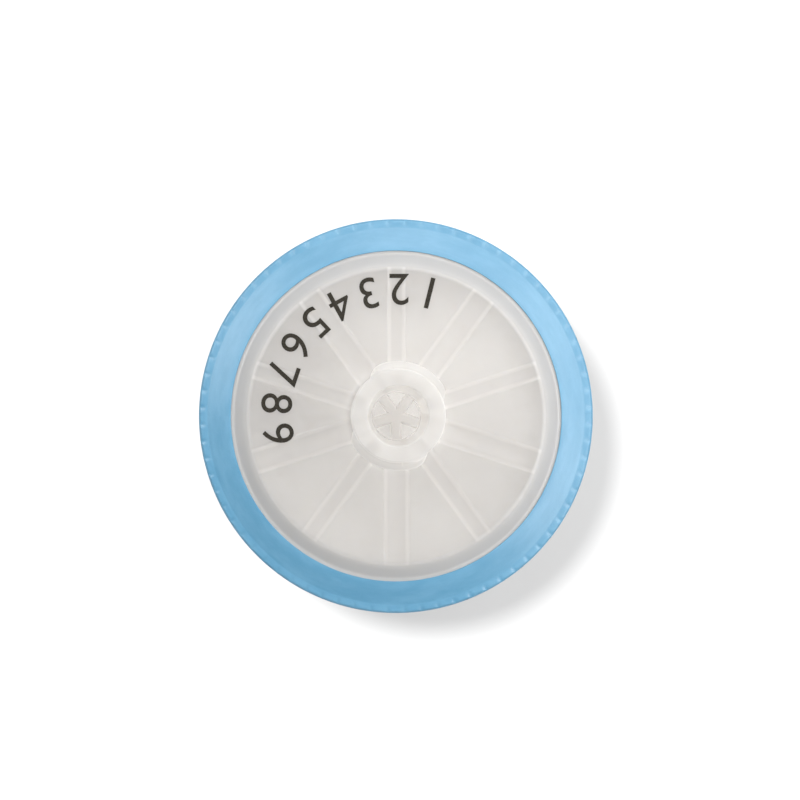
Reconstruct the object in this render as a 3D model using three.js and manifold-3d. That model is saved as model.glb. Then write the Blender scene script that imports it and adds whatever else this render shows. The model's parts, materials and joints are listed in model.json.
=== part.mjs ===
// Syringe filter: a PTFE membrane pinched between two welded polypropylene halves, with a grip ring
// moulded over their flanges. Liquid enters the female Luer hub on top, crosses the membrane and
// leaves through the male Luer tip below.
// Millimetres, +Z up along the flow axis. The origin is on the axis, in the end face of the outlet tip.
import * as THREE from "three";
import { mergeVertices } from "three/addons/utils/BufferGeometryUtils.js";
import Module from "manifold-3d";

const wasm = await Module();
wasm.setup();

// Heights along the axis, in the order of the stack from the tip upwards.
const TIP_LENGTH = 8.0; // free length of the male Luer taper
const BOSS_HEIGHT = 1.4; // collar between the taper and the outlet plate
const OUTLET_PLATE = 1.4; // wall under the drain chamber
const DRAIN_DEPTH = 0.9; // height of the ribs that carry the membrane
const MEMBRANE_THICKNESS = 0.2;
const INLET_CHAMBER = 1.1; // free height above the membrane
const INLET_PLATE = 1.4; // wall over the inlet chamber
const HUB_HEIGHT = 9.6; // female Luer hub above the inlet plate

// Radii, each one stepped from the membrane outwards or inwards.
const MEMBRANE_RADIUS = 12.6;
const CLAMP_WIDTH = 0.9; // rim of the membrane that the two halves pinch
const POCKET_CLEARANCE = 0.1; // room round the membrane's edge
const WELD_WIDTH = 1.2; // contact between the two flanges
const RING_WALL = 1.1; // ring outside the flanges
const RING_COVER = 1.4; // how far the ring reaches in over the flanges
const LAND_WIDTH = 0.25; // narrow flat beside the ring
const SLOPE_WIDTH = 1.1; // cone between the land and the raised plate
const LAND_DROP = 0.7; // how far the land lies below the raised plate
const RING_SEAT_DEPTH = 0.6; // how far the ring sits down into the housing beside the land

// Section of the ring above the land, mirrored below: a gently falling band beside the land, a steeper
// cone, and a nearly level ledge along the rim.
const RING_CREST = 0.1; // inner edge above the land
const RING_BAND_WIDTH = 0.6; // band beside that edge
const RING_BAND_DROP = 0.13;
const RING_CONE_DROP = 0.4;
const RING_LEDGE_WIDTH = 0.66;
const RING_LEDGE_DROP = 0.06;
const RING_EDGE_BEVEL = 0.14; // bevel at the rim
const RING_WALL_DRAFT = 0.06; // the rim narrows this much from its parting band to that bevel
const PARTING_BAND = 0.7; // plain band at mid height, where the mould parts

// Grip flutes that cut both ledges into pads.
const FLUTE_COUNT = 72;
const FLUTE_WIDTH = 0.3;
const FLUTE_START = 0.06; // from the root of the ledge
const FLUTE_FALL = 0.44; // the flute's floor falls this much per unit of radius

// Female Luer hub with a double-start thread fragment.
const SOCKET_MOUTH_RADIUS = 2.15; // radius of the conical fitting at its open end
const LUER_TAPER = 0.03; // radius lost per unit of length: a 6 % taper
const SOCKET_LEAD_IN = 0.08; // chamfer at the mouth
const NECK_LENGTH = 1.8; // straight bore between the cone and the inlet chamber
const NECK_STEP = 0.1; // ledge at the foot of the cone
const HUB_WALL = 1.2; // wall of the hub at its mouth
const HUB_DRAFT = 0.1; // the hub is this much wider at its foot
const HUB_FOOT_FILLET = 0.45;
const LUG_COUNT = 2;
const LUG_HEIGHT = 0.56; // thread height outside the hub
const LUG_ROOT_WIDTH = 2.1; // axial width inside the hub's wall
const LUG_CREST_WIDTH = 0.6;
const LUG_SPAN_DEG = 115; // arc that one lug covers
const LUG_RAMP_DEG = 24; // arc over which its ends rise to full height
const LUG_BURIED_DEG = 3; // head start of that rise, inside the wall
const LUG_FIRST_DEG = 15; // where the first lug begins
const THREAD_LEAD = 5.0;
const LUG_TOP_INSET = 0.1; // crest's upper edge below the hub's face at the high end

// Ribs under the inlet plate: wide and narrow by turns, the wide ones crossing the bore as a star.
const RIB_COUNT = 10;
const RIB_HEIGHT = 0.9;
const WIDE_RIB = 1.45;
const NARROW_RIB = 0.92;
const STAR_ARM = 0.87; // width of the arms that cross the bore
const STAR_RISE = 0.4; // the star stands this far up into the bore
const RIB_END_GAP = 0.5; // free channel between the ribs and the chamber wall
const NARROW_RIB_START = 0.7; // from the edge of the bore to the first end of a narrow rib
const FIRST_RIB_DEG = -90; // a wide rib points along -Y

// Ribs on the outlet plate: one long, one medium and two short ribs in each pitch.
const DRAIN_PITCHES = 10;
const DRAIN_RIB = 0.55;
const DRAIN_WELL_RADIUS = 1.7; // free well round the outlet bore
const MEDIUM_RIB_START = 3.3;
const SHORT_RIB_START = 6.0;

// Male Luer tip.
const TIP_END_RADIUS = 1.97;
const TIP_EDGE = 0.15; // chamfer at the end of the tip
const TIP_BORE_RADIUS = 1.05;
const TIP_BORE_TAPER = 0.02; // the bore widens upwards
const BOSS_RADIUS = 3.2;
const BOSS_FILLET = 0.35;

const BOND_GAP = 0.02; // between moulded pieces that touch
const RIB_DRAFT = 0.06; // each side of a rib leans in this much per unit of height
const EDGE_RADIUS = 0.15; // softened edge of the hub's mouth
const PLATE_EDGE_RADIUS = 0.4; // softened edge of the raised plates
const SEGMENTS = 72; // facets round the axis
const ARC_STEPS = 1; // chords in half a fillet
const EMBED = 0.3; // overlap that joins a rib or lug to its body

// Levels that follow from the stack.
const OUTLET_FACE = TIP_LENGTH + BOSS_HEIGHT;
const DRAIN_FLOOR = OUTLET_FACE + OUTLET_PLATE;
const MEMBRANE_BOTTOM = DRAIN_FLOOR + DRAIN_DEPTH;
const MEMBRANE_TOP = MEMBRANE_BOTTOM + MEMBRANE_THICKNESS;
const CHAMBER_ROOF = MEMBRANE_TOP + INLET_CHAMBER;
const INLET_FACE = CHAMBER_ROOF + INLET_PLATE;
const HUB_TOP = INLET_FACE + HUB_HEIGHT;
const WELD_LEVEL = (MEMBRANE_BOTTOM + MEMBRANE_TOP) / 2;
const UPPER_LAND = INLET_FACE - LAND_DROP;
const LOWER_LAND = OUTLET_FACE + LAND_DROP;
const RING_LAND = (UPPER_LAND - LOWER_LAND) / 2; // the land above the ring's middle
const LEDGE_ROOT = RING_LAND + RING_CREST - RING_BAND_DROP - RING_CONE_DROP;

// Radii that follow from the membrane.
const CHAMBER_RADIUS = MEMBRANE_RADIUS - CLAMP_WIDTH;
const POCKET_RADIUS = MEMBRANE_RADIUS + POCKET_CLEARANCE;
const FLANGE_RADIUS = POCKET_RADIUS + WELD_WIDTH;
const RING_OUTER_RADIUS = FLANGE_RADIUS + RING_WALL;
const RING_INNER_RADIUS = FLANGE_RADIUS - RING_COVER;
const RING_RIM_RADIUS = RING_OUTER_RADIUS - RING_WALL_DRAFT;
const LEDGE_ROOT_RADIUS = RING_RIM_RADIUS - RING_LEDGE_WIDTH;
const LAND_INNER_RADIUS = RING_INNER_RADIUS - LAND_WIDTH;
const PLATE_RADIUS = LAND_INNER_RADIUS - SLOPE_WIDTH;
const RIB_END_RADIUS = CHAMBER_RADIUS - RIB_END_GAP;
const SOCKET_FOOT = CHAMBER_ROOF + NECK_LENGTH;
const SOCKET_FOOT_RADIUS = SOCKET_MOUTH_RADIUS - LUER_TAPER * (HUB_TOP - SOCKET_FOOT);
const NECK_RADIUS = SOCKET_FOOT_RADIUS - NECK_STEP;
const HUB_RADIUS = SOCKET_MOUTH_RADIUS + HUB_WALL;

/** A closed outline through corners [radius, height, fillet], each fillet a true arc. */
function outline(corners) {
  const path = new THREE.Path();
  corners.forEach(([r, z, fillet], i) => {
    const corner = new THREE.Vector2(r, z);
    if (!fillet) {
      if (i === 0) path.moveTo(r, z);
      else path.lineTo(r, z);
      return;
    }
    const before = new THREE.Vector2(...corners.at(i - 1).slice(0, 2)).sub(corner).normalize();
    const after = new THREE.Vector2(...corners[(i + 1) % corners.length].slice(0, 2)).sub(corner).normalize();
    const halfAngle = Math.acos(before.dot(after)) / 2;
    const bisector = before.clone().add(after).normalize();
    const centre = corner.clone().addScaledVector(bisector, fillet / Math.sin(halfAngle));
    const setback = fillet / Math.tan(halfAngle);
    const start = corner.clone().addScaledVector(before, setback).sub(centre).angle();
    const end = corner.clone().addScaledVector(after, setback).sub(centre).angle();
    const clockwise = before.cross(after) > 0;
    path.absarc(centre.x, centre.y, fillet, start, end, clockwise);
  });
  path.closePath();
  return path.getPoints(ARC_STEPS);
}

/** The outline without points that repeat the one before. */
function withoutRepeats(points) {
  return points.filter((point, i) => i === 0 || point.distanceTo(points[i - 1]) > 1e-6);
}

/** A closed geometry as a solid that can be joined and cut. */
function toSolid(geometry) {
  const bare = geometry.clone();
  bare.deleteAttribute("normal");
  bare.deleteAttribute("uv");
  const merged = mergeVertices(bare, 1e-5);
  const index = merged.index.array;
  const corners = [];
  for (let i = 0; i < index.length; i += 3) {
    const [a, b, c] = [index[i], index[i + 1], index[i + 2]];
    if (a !== b && b !== c && c !== a) corners.push(a, b, c);
  }
  const vertProperties = new Float32Array(merged.attributes.position.array);
  const triVerts = new Uint32Array(corners);
  return new wasm.Manifold(new wasm.Mesh({ numProp: 3, vertProperties, triVerts }));
}

/** A solid as a geometry for display. */
function toGeometry(solid) {
  const mesh = solid.getMesh();
  const geometry = new THREE.BufferGeometry();
  geometry.setAttribute("position", new THREE.BufferAttribute(mesh.vertProperties, 3));
  geometry.setIndex(new THREE.BufferAttribute(mesh.triVerts, 1));
  geometry.computeVertexNormals();
  return geometry;
}

/** A section of [radius, height, fillet] corners, counter-clockwise, turned round the Z axis. */
function revolve(corners) {
  const lathe = new THREE.LatheGeometry(withoutRepeats(outline(corners)), SEGMENTS);
  lathe.rotateX(Math.PI / 2);
  return toSolid(lathe);
}

/** A solid skinned over convex loops with the same number of points, closed by a fan at each end. */
function loft(loops) {
  const size = loops[0].length;
  const position = loops.flat().flatMap((point) => point.toArray());
  const index = [];
  for (let ring = 0; ring + 1 < loops.length; ring += 1) {
    for (let k = 0; k < size; k += 1) {
      const next = (k + 1) % size;
      const [a, b] = [ring * size + k, ring * size + next];
      index.push(a, b, b + size, a, b + size, a + size);
    }
  }
  const last = (loops.length - 1) * size;
  for (let k = 1; k + 1 < size; k += 1) {
    index.push(0, k + 1, k);
    index.push(last, last + k, last + k + 1);
  }
  const geometry = new THREE.BufferGeometry();
  geometry.setAttribute("position", new THREE.Float32BufferAttribute(position, 3));
  geometry.setIndex(index);
  return toSolid(geometry);
}

/** A straight radial rib, wide at its base level and drafted towards its tip level. */
function radialRib({ from, to, width, base, tip, angle }) {
  const lean = RIB_DRAFT * Math.abs(tip - base);
  const section = new THREE.Shape([
    new THREE.Vector2(-width / 2, base),
    new THREE.Vector2(width / 2, base),
    new THREE.Vector2(width / 2 - lean, tip),
    new THREE.Vector2(-width / 2 + lean, tip),
  ]);
  const rib = new THREE.ExtrudeGeometry(section, { depth: to - from, bevelEnabled: false });
  const across = new THREE.Vector3(0, 1, 0);
  const up = new THREE.Vector3(0, 0, 1);
  const outwards = new THREE.Vector3(1, 0, 0);
  rib.applyMatrix4(new THREE.Matrix4().makeBasis(across, up, outwards));
  rib.translate(from, 0, 0);
  rib.rotateZ(angle);
  return toSolid(rib);
}

/** One helical thread fragment of the hub. Its ends sink into the hub's wall. */
function luerLug(startDeg) {
  const steps = Math.round(LUG_SPAN_DEG / (360 / SEGMENTS));
  const rootRadius = HUB_RADIUS - EMBED;
  const loops = [];
  for (let i = 0; i <= steps; i += 1) {
    const along = (i / steps) * LUG_SPAN_DEG;
    const fromEnd = Math.min(along, LUG_SPAN_DEG - along);
    const rise = Math.min(1, (fromEnd + LUG_BURIED_DEG) / LUG_RAMP_DEG) * (LUG_HEIGHT + EMBED);
    const angle = THREE.MathUtils.degToRad(startDeg + along);
    const crestTop = HUB_TOP - LUG_TOP_INSET - (THREAD_LEAD * (LUG_SPAN_DEG - along)) / 360;
    const middle = crestTop - LUG_CREST_WIDTH / 2;
    const at = (r, z) => new THREE.Vector3(r * Math.cos(angle), r * Math.sin(angle), z);
    loops.push([
      at(rootRadius, middle - LUG_ROOT_WIDTH / 2),
      at(rootRadius, middle + LUG_ROOT_WIDTH / 2),
      at(rootRadius + rise, middle + LUG_CREST_WIDTH / 2),
      at(rootRadius + rise, middle - LUG_CREST_WIDTH / 2),
    ]);
  }
  return loft(loops);
}

/** The space that the hub's threads may fill: a washer whose top is the hub's own top face. */
function threadEnvelope() {
  const [inner, outer] = [HUB_RADIUS - 2 * EMBED, HUB_RADIUS + 2 * LUG_HEIGHT];
  return revolve([
    [outer, INLET_FACE],
    [outer, HUB_TOP],
    [inner, HUB_TOP],
    [inner, INLET_FACE],
    [outer, INLET_FACE],
  ]);
}

/** The turned form of the inlet half: hub, raised plate, land, flange and the chamber under them. */
function inletShell() {
  const flangeTop = UPPER_LAND - RING_SEAT_DEPTH;
  return revolve([
    [FLANGE_RADIUS, WELD_LEVEL + BOND_GAP / 2],
    [FLANGE_RADIUS, flangeTop],
    [RING_INNER_RADIUS, flangeTop],
    [RING_INNER_RADIUS, UPPER_LAND],
    [LAND_INNER_RADIUS, UPPER_LAND],
    [PLATE_RADIUS, INLET_FACE, PLATE_EDGE_RADIUS],
    [HUB_RADIUS + HUB_DRAFT, INLET_FACE, HUB_FOOT_FILLET],
    [HUB_RADIUS, HUB_TOP, EDGE_RADIUS],
    [SOCKET_MOUTH_RADIUS + SOCKET_LEAD_IN, HUB_TOP],
    [SOCKET_MOUTH_RADIUS, HUB_TOP - SOCKET_LEAD_IN],
    [SOCKET_FOOT_RADIUS, SOCKET_FOOT],
    [NECK_RADIUS, SOCKET_FOOT],
    [NECK_RADIUS, CHAMBER_ROOF],
    [CHAMBER_RADIUS, CHAMBER_ROOF],
    [CHAMBER_RADIUS, MEMBRANE_TOP + BOND_GAP],
    [POCKET_RADIUS, MEMBRANE_TOP + BOND_GAP],
    [POCKET_RADIUS, WELD_LEVEL + BOND_GAP / 2],
    [FLANGE_RADIUS, WELD_LEVEL + BOND_GAP / 2],
  ]);
}

/** The ribs of the inlet chamber and the star that they form across the bore. */
function inletRibs() {
  const ribs = [];
  const tip = CHAMBER_ROOF - RIB_HEIGHT;
  for (let k = 0; k < RIB_COUNT; k += 1) {
    const angle = THREE.MathUtils.degToRad(FIRST_RIB_DEG + (360 / RIB_COUNT) * k);
    const isWide = k % 2 === 0;
    const from = isWide ? NECK_RADIUS : NECK_RADIUS + NARROW_RIB_START;
    const width = isWide ? WIDE_RIB : NARROW_RIB;
    const base = CHAMBER_ROOF + EMBED;
    ribs.push(radialRib({ from, to: RIB_END_RADIUS, width, base, tip, angle }));
    if (isWide) {
      const starTop = CHAMBER_ROOF + STAR_RISE;
      const arm = { from: 0, to: NECK_RADIUS + EMBED, width: STAR_ARM, base: starTop, tip, angle };
      ribs.push(radialRib(arm));
    }
  }
  return ribs;
}

function inletHousing() {
  let body = inletShell();
  for (const rib of inletRibs()) {
    body = body.add(rib);
  }
  const envelope = threadEnvelope();
  for (let k = 0; k < LUG_COUNT; k += 1) {
    const lug = luerLug(LUG_FIRST_DEG + (360 / LUG_COUNT) * k);
    body = body.add(lug.intersect(envelope));
  }
  return toGeometry(body);
}

/** The turned form of the outlet half: tip, boss, raised plate, land, flange and the drain chamber. */
function outletShell() {
  const flangeBottom = LOWER_LAND + RING_SEAT_DEPTH;
  const tipFootRadius = TIP_END_RADIUS + LUER_TAPER * TIP_LENGTH;
  const boreTopRadius = TIP_BORE_RADIUS + TIP_BORE_TAPER * DRAIN_FLOOR;
  return revolve([
    [TIP_BORE_RADIUS, 0],
    [TIP_END_RADIUS - TIP_EDGE, 0],
    [TIP_END_RADIUS, TIP_EDGE],
    [tipFootRadius, TIP_LENGTH],
    [BOSS_RADIUS, TIP_LENGTH],
    [BOSS_RADIUS, OUTLET_FACE, BOSS_FILLET],
    [PLATE_RADIUS, OUTLET_FACE, PLATE_EDGE_RADIUS],
    [LAND_INNER_RADIUS, LOWER_LAND],
    [RING_INNER_RADIUS, LOWER_LAND],
    [RING_INNER_RADIUS, flangeBottom],
    [FLANGE_RADIUS, flangeBottom],
    [FLANGE_RADIUS, WELD_LEVEL - BOND_GAP / 2],
    [POCKET_RADIUS, WELD_LEVEL - BOND_GAP / 2],
    [POCKET_RADIUS, MEMBRANE_BOTTOM - BOND_GAP],
    [CHAMBER_RADIUS, MEMBRANE_BOTTOM - BOND_GAP],
    [CHAMBER_RADIUS, DRAIN_FLOOR],
    [boreTopRadius, DRAIN_FLOOR],
    [TIP_BORE_RADIUS, 0],
  ]);
}

/** The radial ribs that carry the membrane and leave drain channels between them. */
function drainRibs() {
  const starts = [DRAIN_WELL_RADIUS, SHORT_RIB_START, MEDIUM_RIB_START, SHORT_RIB_START];
  const tip = MEMBRANE_BOTTOM - BOND_GAP;
  const count = DRAIN_PITCHES * starts.length;
  const ribs = [];
  for (let k = 0; k < count; k += 1) {
    const angle = THREE.MathUtils.degToRad(FIRST_RIB_DEG + (360 / count) * k);
    const from = starts[k % starts.length];
    const base = DRAIN_FLOOR - EMBED;
    ribs.push(radialRib({ from, to: RIB_END_RADIUS, width: DRAIN_RIB, base, tip, angle }));
  }
  return ribs;
}

function outletHousing() {
  let body = outletShell();
  for (const rib of drainRibs()) {
    body = body.add(rib);
  }
  return toGeometry(body);
}

/** The membrane disc, with its lower face at height zero. */
function membraneDisc() {
  return toGeometry(
    revolve([
      [0, 0],
      [MEMBRANE_RADIUS, 0],
      [MEMBRANE_RADIUS, MEMBRANE_THICKNESS],
      [0, MEMBRANE_THICKNESS],
    ])
  );
}

/** The upper half of the ring's section, from the parting band round to the flange's edge. */
function ringHalfSection() {
  const seat = RING_LAND - RING_SEAT_DEPTH + BOND_GAP;
  const crest = RING_LAND + RING_CREST;
  const ledge = LEDGE_ROOT - RING_LEDGE_DROP;
  const inner = RING_INNER_RADIUS + BOND_GAP;
  return [
    [RING_OUTER_RADIUS, PARTING_BAND / 2],
    [RING_RIM_RADIUS, ledge - RING_EDGE_BEVEL],
    [RING_RIM_RADIUS - RING_EDGE_BEVEL, ledge],
    [LEDGE_ROOT_RADIUS, LEDGE_ROOT],
    [inner + RING_BAND_WIDTH, crest - RING_BAND_DROP],
    [inner, crest],
    [inner, seat],
    [FLANGE_RADIUS + BOND_GAP, seat],
  ];
}

/** Cuts one flute into both ledges: a bracket round the rim whose two floors fall towards it. */
function fluteCutter(angle) {
  const start = LEDGE_ROOT_RADIUS + FLUTE_START;
  const clear = RING_OUTER_RADIUS + EMBED;
  const floorEnd = LEDGE_ROOT - FLUTE_FALL * (clear - start);
  const above = LEDGE_ROOT + EMBED;
  const half = [
    [clear + EMBED, above],
    [start, above],
    [start, LEDGE_ROOT],
    [clear, floorEnd],
  ];
  const mirrored = half.map(([r, z]) => [r, -z]).reverse();
  const bracket = new THREE.Shape([...half, ...mirrored].map(([r, z]) => new THREE.Vector2(r, z)));
  const cutter = new THREE.ExtrudeGeometry(bracket, { depth: FLUTE_WIDTH, bevelEnabled: false });
  cutter.translate(0, 0, -FLUTE_WIDTH / 2);
  cutter.rotateX(Math.PI / 2);
  cutter.rotateZ(angle);
  return toSolid(cutter);
}

/** The overmoulded ring, with its middle plane at height zero. */
function outerRing() {
  const upper = ringHalfSection();
  const lower = upper.map(([r, z]) => [r, -z]).reverse();
  let body = revolve([...upper, ...lower, upper[0]]);
  for (let k = 0; k < FLUTE_COUNT; k += 1) {
    const angle = (2 * Math.PI * (k + 0.5)) / FLUTE_COUNT; // a pad, not a flute, points along +X
    body = body.subtract(fluteCutter(angle));
  }
  return toGeometry(body);
}

const naturalPolypropylene = { color: 0xe4e0da, roughness: 0.35, metalness: 0 };
const ptfeFelt = { color: 0xf4f3f0, roughness: 0.8, metalness: 0 };
const bluePolypropylene = { color: 0x90c6e8, roughness: 0.4, metalness: 0 };

/** A named sub-part with a material of its own, seated at a height. */
function subPart(name, geometry, finish, height = 0) {
  const mesh = new THREE.Mesh(geometry, new THREE.MeshStandardMaterial(finish));
  mesh.name = name;
  mesh.position.z = height;
  return mesh;
}

const group = new THREE.Group();
group.add(subPart("outlet_housing", outletHousing(), naturalPolypropylene));
group.add(subPart("membrane", membraneDisc(), ptfeFelt, MEMBRANE_BOTTOM));
group.add(subPart("inlet_housing", inletHousing(), naturalPolypropylene));
group.add(subPart("outer_ring", outerRing(), bluePolypropylene, (UPPER_LAND + LOWER_LAND) / 2));

export default group;
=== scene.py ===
# %% [markdown]
# # A syringe filter, finished
# The filter is a thin disc of natural polypropylene, cloudy like thin milk, with a PTFE membrane
# pinched between its two halves and a blue grip ring moulded over the seam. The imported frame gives
# every piece its place and size. This lesson makes the fine surfaces round it, in cells that can
# be run one after another.

# %% Load the frame
import json
import math

import bmesh
import bpy
from mathutils import Matrix, Vector

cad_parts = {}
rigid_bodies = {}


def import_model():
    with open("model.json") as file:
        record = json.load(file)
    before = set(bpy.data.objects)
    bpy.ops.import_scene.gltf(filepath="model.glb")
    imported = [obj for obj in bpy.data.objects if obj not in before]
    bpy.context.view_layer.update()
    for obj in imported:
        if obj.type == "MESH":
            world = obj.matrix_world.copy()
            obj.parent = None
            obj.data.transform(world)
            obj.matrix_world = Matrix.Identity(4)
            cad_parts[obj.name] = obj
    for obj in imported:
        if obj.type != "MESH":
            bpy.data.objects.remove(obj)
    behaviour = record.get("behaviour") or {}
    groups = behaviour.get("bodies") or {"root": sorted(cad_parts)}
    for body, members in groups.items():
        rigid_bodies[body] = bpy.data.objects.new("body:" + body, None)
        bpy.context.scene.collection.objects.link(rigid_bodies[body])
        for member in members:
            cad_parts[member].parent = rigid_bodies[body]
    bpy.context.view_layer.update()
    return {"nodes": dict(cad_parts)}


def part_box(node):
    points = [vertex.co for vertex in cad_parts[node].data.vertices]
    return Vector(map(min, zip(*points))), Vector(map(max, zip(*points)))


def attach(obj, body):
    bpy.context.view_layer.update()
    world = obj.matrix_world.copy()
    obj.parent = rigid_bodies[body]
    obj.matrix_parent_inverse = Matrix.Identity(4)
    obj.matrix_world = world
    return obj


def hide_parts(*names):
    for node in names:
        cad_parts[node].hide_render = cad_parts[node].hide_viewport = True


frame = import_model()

print("nodes:", sorted(frame["nodes"]))

# %% [markdown]
# ## Sizes
# Small moulded parts are easiest to think about in millimetres, so all shapes below are drawn in
# millimetres and scaled to metres once, when a piece is finished. What the frame knows is read
# from it. The walls and fillets that a box can't tell are the designer's numbers, named here.

# %% Levels and radii that the frame gives
MM = 0.001


def corners_of(node):
    """Lowest and highest corner of a frame node, in millimetres."""
    low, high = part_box(node)
    return low / MM, high / MM


_, inlet_high = corners_of("inlet_housing")
sheet_low, sheet_high = corners_of("membrane")
ring_low, ring_high = corners_of("outer_ring")

HUB_TOP = inlet_high.z
FLANGE_RADIUS = inlet_high.x
MEMBRANE_BOTTOM, MEMBRANE_TOP = sheet_low.z, sheet_high.z
RING_RADIUS, RING_TOP, RING_BOTTOM = ring_high.x, ring_high.z, ring_low.z
WELD_LEVEL = (MEMBRANE_BOTTOM + MEMBRANE_TOP) / 2
RING_MIDDLE = (RING_BOTTOM + RING_TOP) / 2
print(f"hub top {HUB_TOP:.2f}, ring {2 * RING_RADIUS:.2f} across at {RING_MIDDLE:.2f} mm")

# %% The designer's numbers, in millimetres
GAP = 0.02  # between moulded pieces that touch
CHAMBER_ROOF = MEMBRANE_TOP + 1.1
INLET_FACE = CHAMBER_ROOF + 1.4
DRAIN_FLOOR = MEMBRANE_BOTTOM - 0.9
OUTLET_FACE = DRAIN_FLOOR - 1.4
TIP_LENGTH = OUTLET_FACE - 1.4
LAND_DROP = 0.7
LANDS = (OUTLET_FACE + LAND_DROP, INLET_FACE - LAND_DROP)
SEAT_DEPTH = 0.6

POCKET_RADIUS = FLANGE_RADIUS - 1.2
CHAMBER_RADIUS = POCKET_RADIUS - 1.0
RING_INNER_RADIUS = FLANGE_RADIUS - 1.4
LAND_INNER_RADIUS = RING_INNER_RADIUS - 0.25
PLATE_RADIUS = LAND_INNER_RADIUS - 1.1
RIB_END_RADIUS = CHAMBER_RADIUS - 0.5

SOCKET_MOUTH = 2.15  # radius of the conical fitting at its open end
CONE_TAPER = 0.03  # radius lost per millimetre, the same on socket and tip
SOCKET_FOOT = CHAMBER_ROOF + 1.8
SOCKET_FOOT_RADIUS = SOCKET_MOUTH - CONE_TAPER * (HUB_TOP - SOCKET_FOOT)
NECK_RADIUS = SOCKET_FOOT_RADIUS - 0.1
HUB_RADIUS = SOCKET_MOUTH + 1.2
print(f"plate to {PLATE_RADIUS:.2f}, chamber to {CHAMBER_RADIUS:.2f}, neck {NECK_RADIUS:.2f} mm")

# %% [markdown]
# ## From a section to a moulded body
# A moulded disc is a section turned round its axis. The section starts as a few corner points. A
# vertex bevel rounds each corner as the mould's cutter would, and one spin closes the body.
# Drawing the section first keeps every fillet a number in a list.

# %% A section with rounded corners
ROUND_STEPS = 5


def section(corners, place):
    """A closed wire of corners (a, b, setback of the rounding), put in space by place(a, b)."""
    bm = bmesh.new()
    points = [bm.verts.new(place(a, b)) for a, b, _ in corners]
    for first, second in zip(points, points[1:] + points[:1]):
        bm.edges.new((first, second))
    for point, (_, _, setback) in zip(points, corners):
        if setback:
            bmesh.ops.bevel(
                bm, geom=[point], offset=setback, offset_type="OFFSET", affect="VERTICES",
                segments=ROUND_STEPS, profile=0.5, material=-1,
            )
    return bm


def upright(radius, height):
    """A point of a turned section: radius along X, height along Z."""
    return Vector((radius, 0, height))


print("a rounded corner has", ROUND_STEPS, "steps")

# %% Turn a section into a closed body
ROUND = 2 * math.pi
TURN_STEPS = 180
SAME_POINT = 1e-5  # millimetres: points that are nearer than this are one


def turned(corners):
    """A section (radius, height, rounding) spun once round the Z axis."""
    bm = section(corners, upright)
    bmesh.ops.spin(
        bm, geom=bm.verts[:] + bm.edges[:], cent=(0, 0, 0), axis=(0, 0, 1), dvec=(0, 0, 0),
        angle=ROUND, steps=TURN_STEPS, use_merge=True,
    )
    bmesh.ops.remove_doubles(bm, verts=bm.verts, dist=SAME_POINT)
    bmesh.ops.recalc_face_normals(bm, faces=bm.faces)
    return bm


print("a turned body has a step every", 360 / TURN_STEPS, "degrees")

# %% [markdown]
# ## Joining bodies, and finishing a piece
# Ribs and threads are part of the same moulding as the plate that carries them. A union makes
# them one skin, with no walls left inside, and that matters here: the plastic lets light through,
# so a hidden wall would show as a ghost.


# %% Bodies to objects
def as_object(name, bm):
    """A working object in millimetres, which takes the bmesh and frees it."""
    mesh = bpy.data.meshes.new(name)
    bm.to_mesh(mesh)
    bm.free()
    working = bpy.data.objects.new(name, mesh)
    bpy.context.scene.collection.objects.link(working)
    return working


def united(name, body, additions):
    """One bmesh with the skin of the body and everything added to it."""
    base = as_object(name, body)
    tools = [as_object(f"{name}_addition", addition) for addition in additions]
    for tool in tools:
        union = base.modifiers.new("union", "BOOLEAN")
        union.operation, union.solver, union.object = "UNION", "MANIFOLD", tool
    solved = base.evaluated_get(bpy.context.evaluated_depsgraph_get())
    bm = bmesh.new()
    bm.from_mesh(solved.to_mesh())
    for used in [base, *tools]:
        bpy.data.meshes.remove(used.data)
    return bm


# %% [markdown]
# Two moves come back all through the lesson: a flat face is pulled out into a solid, and a part
# that was drawn on the X axis is turned to its own direction.


# %% Pull a face out, and turn a part
def pulled_out(bm, faces, by):
    """Extrudes flat faces by a vector into a solid."""
    pulled = bmesh.ops.extrude_face_region(bm, geom=faces)["geom"]
    moved = [item for item in pulled if isinstance(item, bmesh.types.BMVert)]
    bmesh.ops.translate(bm, verts=moved, vec=by)


def turned_to(bm, degrees):
    """Turns a body about the Z axis."""
    turn = Matrix.Rotation(math.radians(degrees), 3, "Z")
    bmesh.ops.rotate(bm, cent=(0, 0, 0), matrix=turn, verts=bm.verts)


# %% A finished piece
SLIVER = 1e-4  # millimetres: a union leaves edges as short as this, and they are closed up
SHARP_ANGLE = math.radians(32)


def piece(name, bm, material, stands_for=None):
    """Scales a body to metres, smooths it and hands it to the frame."""
    bmesh.ops.remove_doubles(bm, verts=bm.verts, dist=SLIVER)
    bmesh.ops.dissolve_degenerate(bm, edges=bm.edges, dist=SLIVER)
    open_edges = sum(not edge.is_manifold for edge in bm.edges)
    bmesh.ops.scale(bm, vec=(MM, MM, MM), verts=bm.verts)
    made = as_object(name, bm)
    made.data.shade_smooth()
    made.data.set_sharp_from_angle(angle=SHARP_ANGLE)
    made.data.materials.append(material)
    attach(made, "root")
    if stands_for:
        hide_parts(stands_for)
    triangles = sum(len(face.vertices) - 2 for face in made.data.polygons)
    print(f"{name}: {triangles} triangles, {open_edges} open edges")


# %% [markdown]
# ## Shader maths in plain Python
# A finish is a recipe of many small sums. Wiring those by hand hides the idea, so one small class
# wraps a socket: adding or multiplying two of them adds the Math node that does it.


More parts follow.
